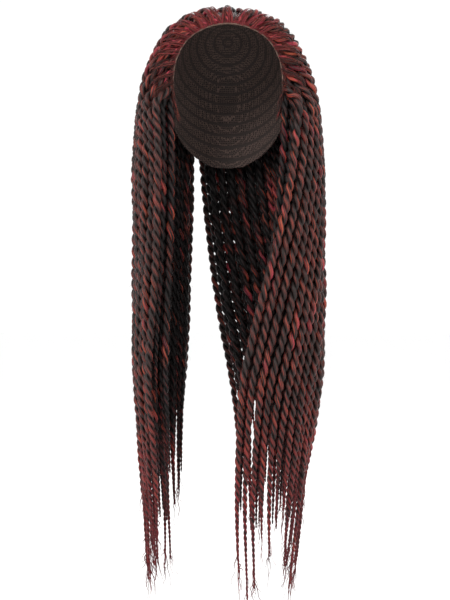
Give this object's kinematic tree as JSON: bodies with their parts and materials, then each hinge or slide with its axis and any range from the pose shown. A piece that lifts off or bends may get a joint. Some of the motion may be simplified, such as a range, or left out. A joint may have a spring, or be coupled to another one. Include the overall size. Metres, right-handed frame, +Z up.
{
  "type": "braid wig",
  "caption": "Long worn wig: dark hair with wine-red streaks in two-strand rope twists, rooted on a lace-front cap that is open for the head, face and neck",
  "frame": {"origin": "the inside of the cap at its crown, where the wig rests on the head", "axes": "+Z is up along the worn head, -Y is the way the face looks, +X is to the right of someone who looks at the face"},
  "size_m": [0.2424, 0.2385, 0.714],
  "materials": {
    "cap_net": "dark stretch net with sewn weft ribs",
    "lace": "fine skin-toned lace, matte",
    "twisted_hair": "fine synthetic fibre twisted in two strands, soft sheen, dark with wine-red streaks"
  },
  "bodies": {
    "root": {"cap": "cap_net", "lace_front": "lace", "twist_right_01": "twisted_hair", "twist_right_02": "twisted_hair", "twist_right_03": "twisted_hair", "twist_right_04": "twisted_hair", "twist_right_05": "twisted_hair", "twist_right_06": "twisted_hair", "twist_right_07": "twisted_hair", "twist_right_08": "twisted_hair", "twist_right_09": "twisted_hair", "twist_right_10": "twisted_hair", "twist_right_11": "twisted_hair", "twist_right_12": "twisted_hair", "twist_right_13": "twisted_hair", "twist_right_14": "twisted_hair", "twist_right_15": "twisted_hair", "twist_right_16": "twisted_hair", "twist_right_17": "twisted_hair", "twist_right_18": "twisted_hair", "twist_right_19": "twisted_hair", "twist_right_20": "twisted_hair", "twist_right_21": "twisted_hair", "twist_right_22": "twisted_hair", "twist_right_23": "twisted_hair", "twist_right_24": "twisted_hair", "twist_right_25": "twisted_hair", "twist_right_26": "twisted_hair", "twist_left_01": "twisted_hair", "twist_left_02": "twisted_hair", "twist_left_03": "twisted_hair", "twist_left_04": "twisted_hair", "twist_left_05": "twisted_hair", "twist_left_06": "twisted_hair", "twist_left_07": "twisted_hair", "twist_left_08": "twisted_hair", "twist_left_09": "twisted_hair", "twist_left_10": "twisted_hair", "twist_left_11": "twisted_hair", "twist_left_12": "twisted_hair", "twist_left_13": "twisted_hair", "twist_left_14": "twisted_hair", "twist_left_15": "twisted_hair", "twist_left_16": "twisted_hair", "twist_left_17": "twisted_hair", "twist_left_18": "twisted_hair", "twist_left_19": "twisted_hair", "twist_left_20": "twisted_hair", "twist_left_21": "twisted_hair"}
  },
  "joints": []
}
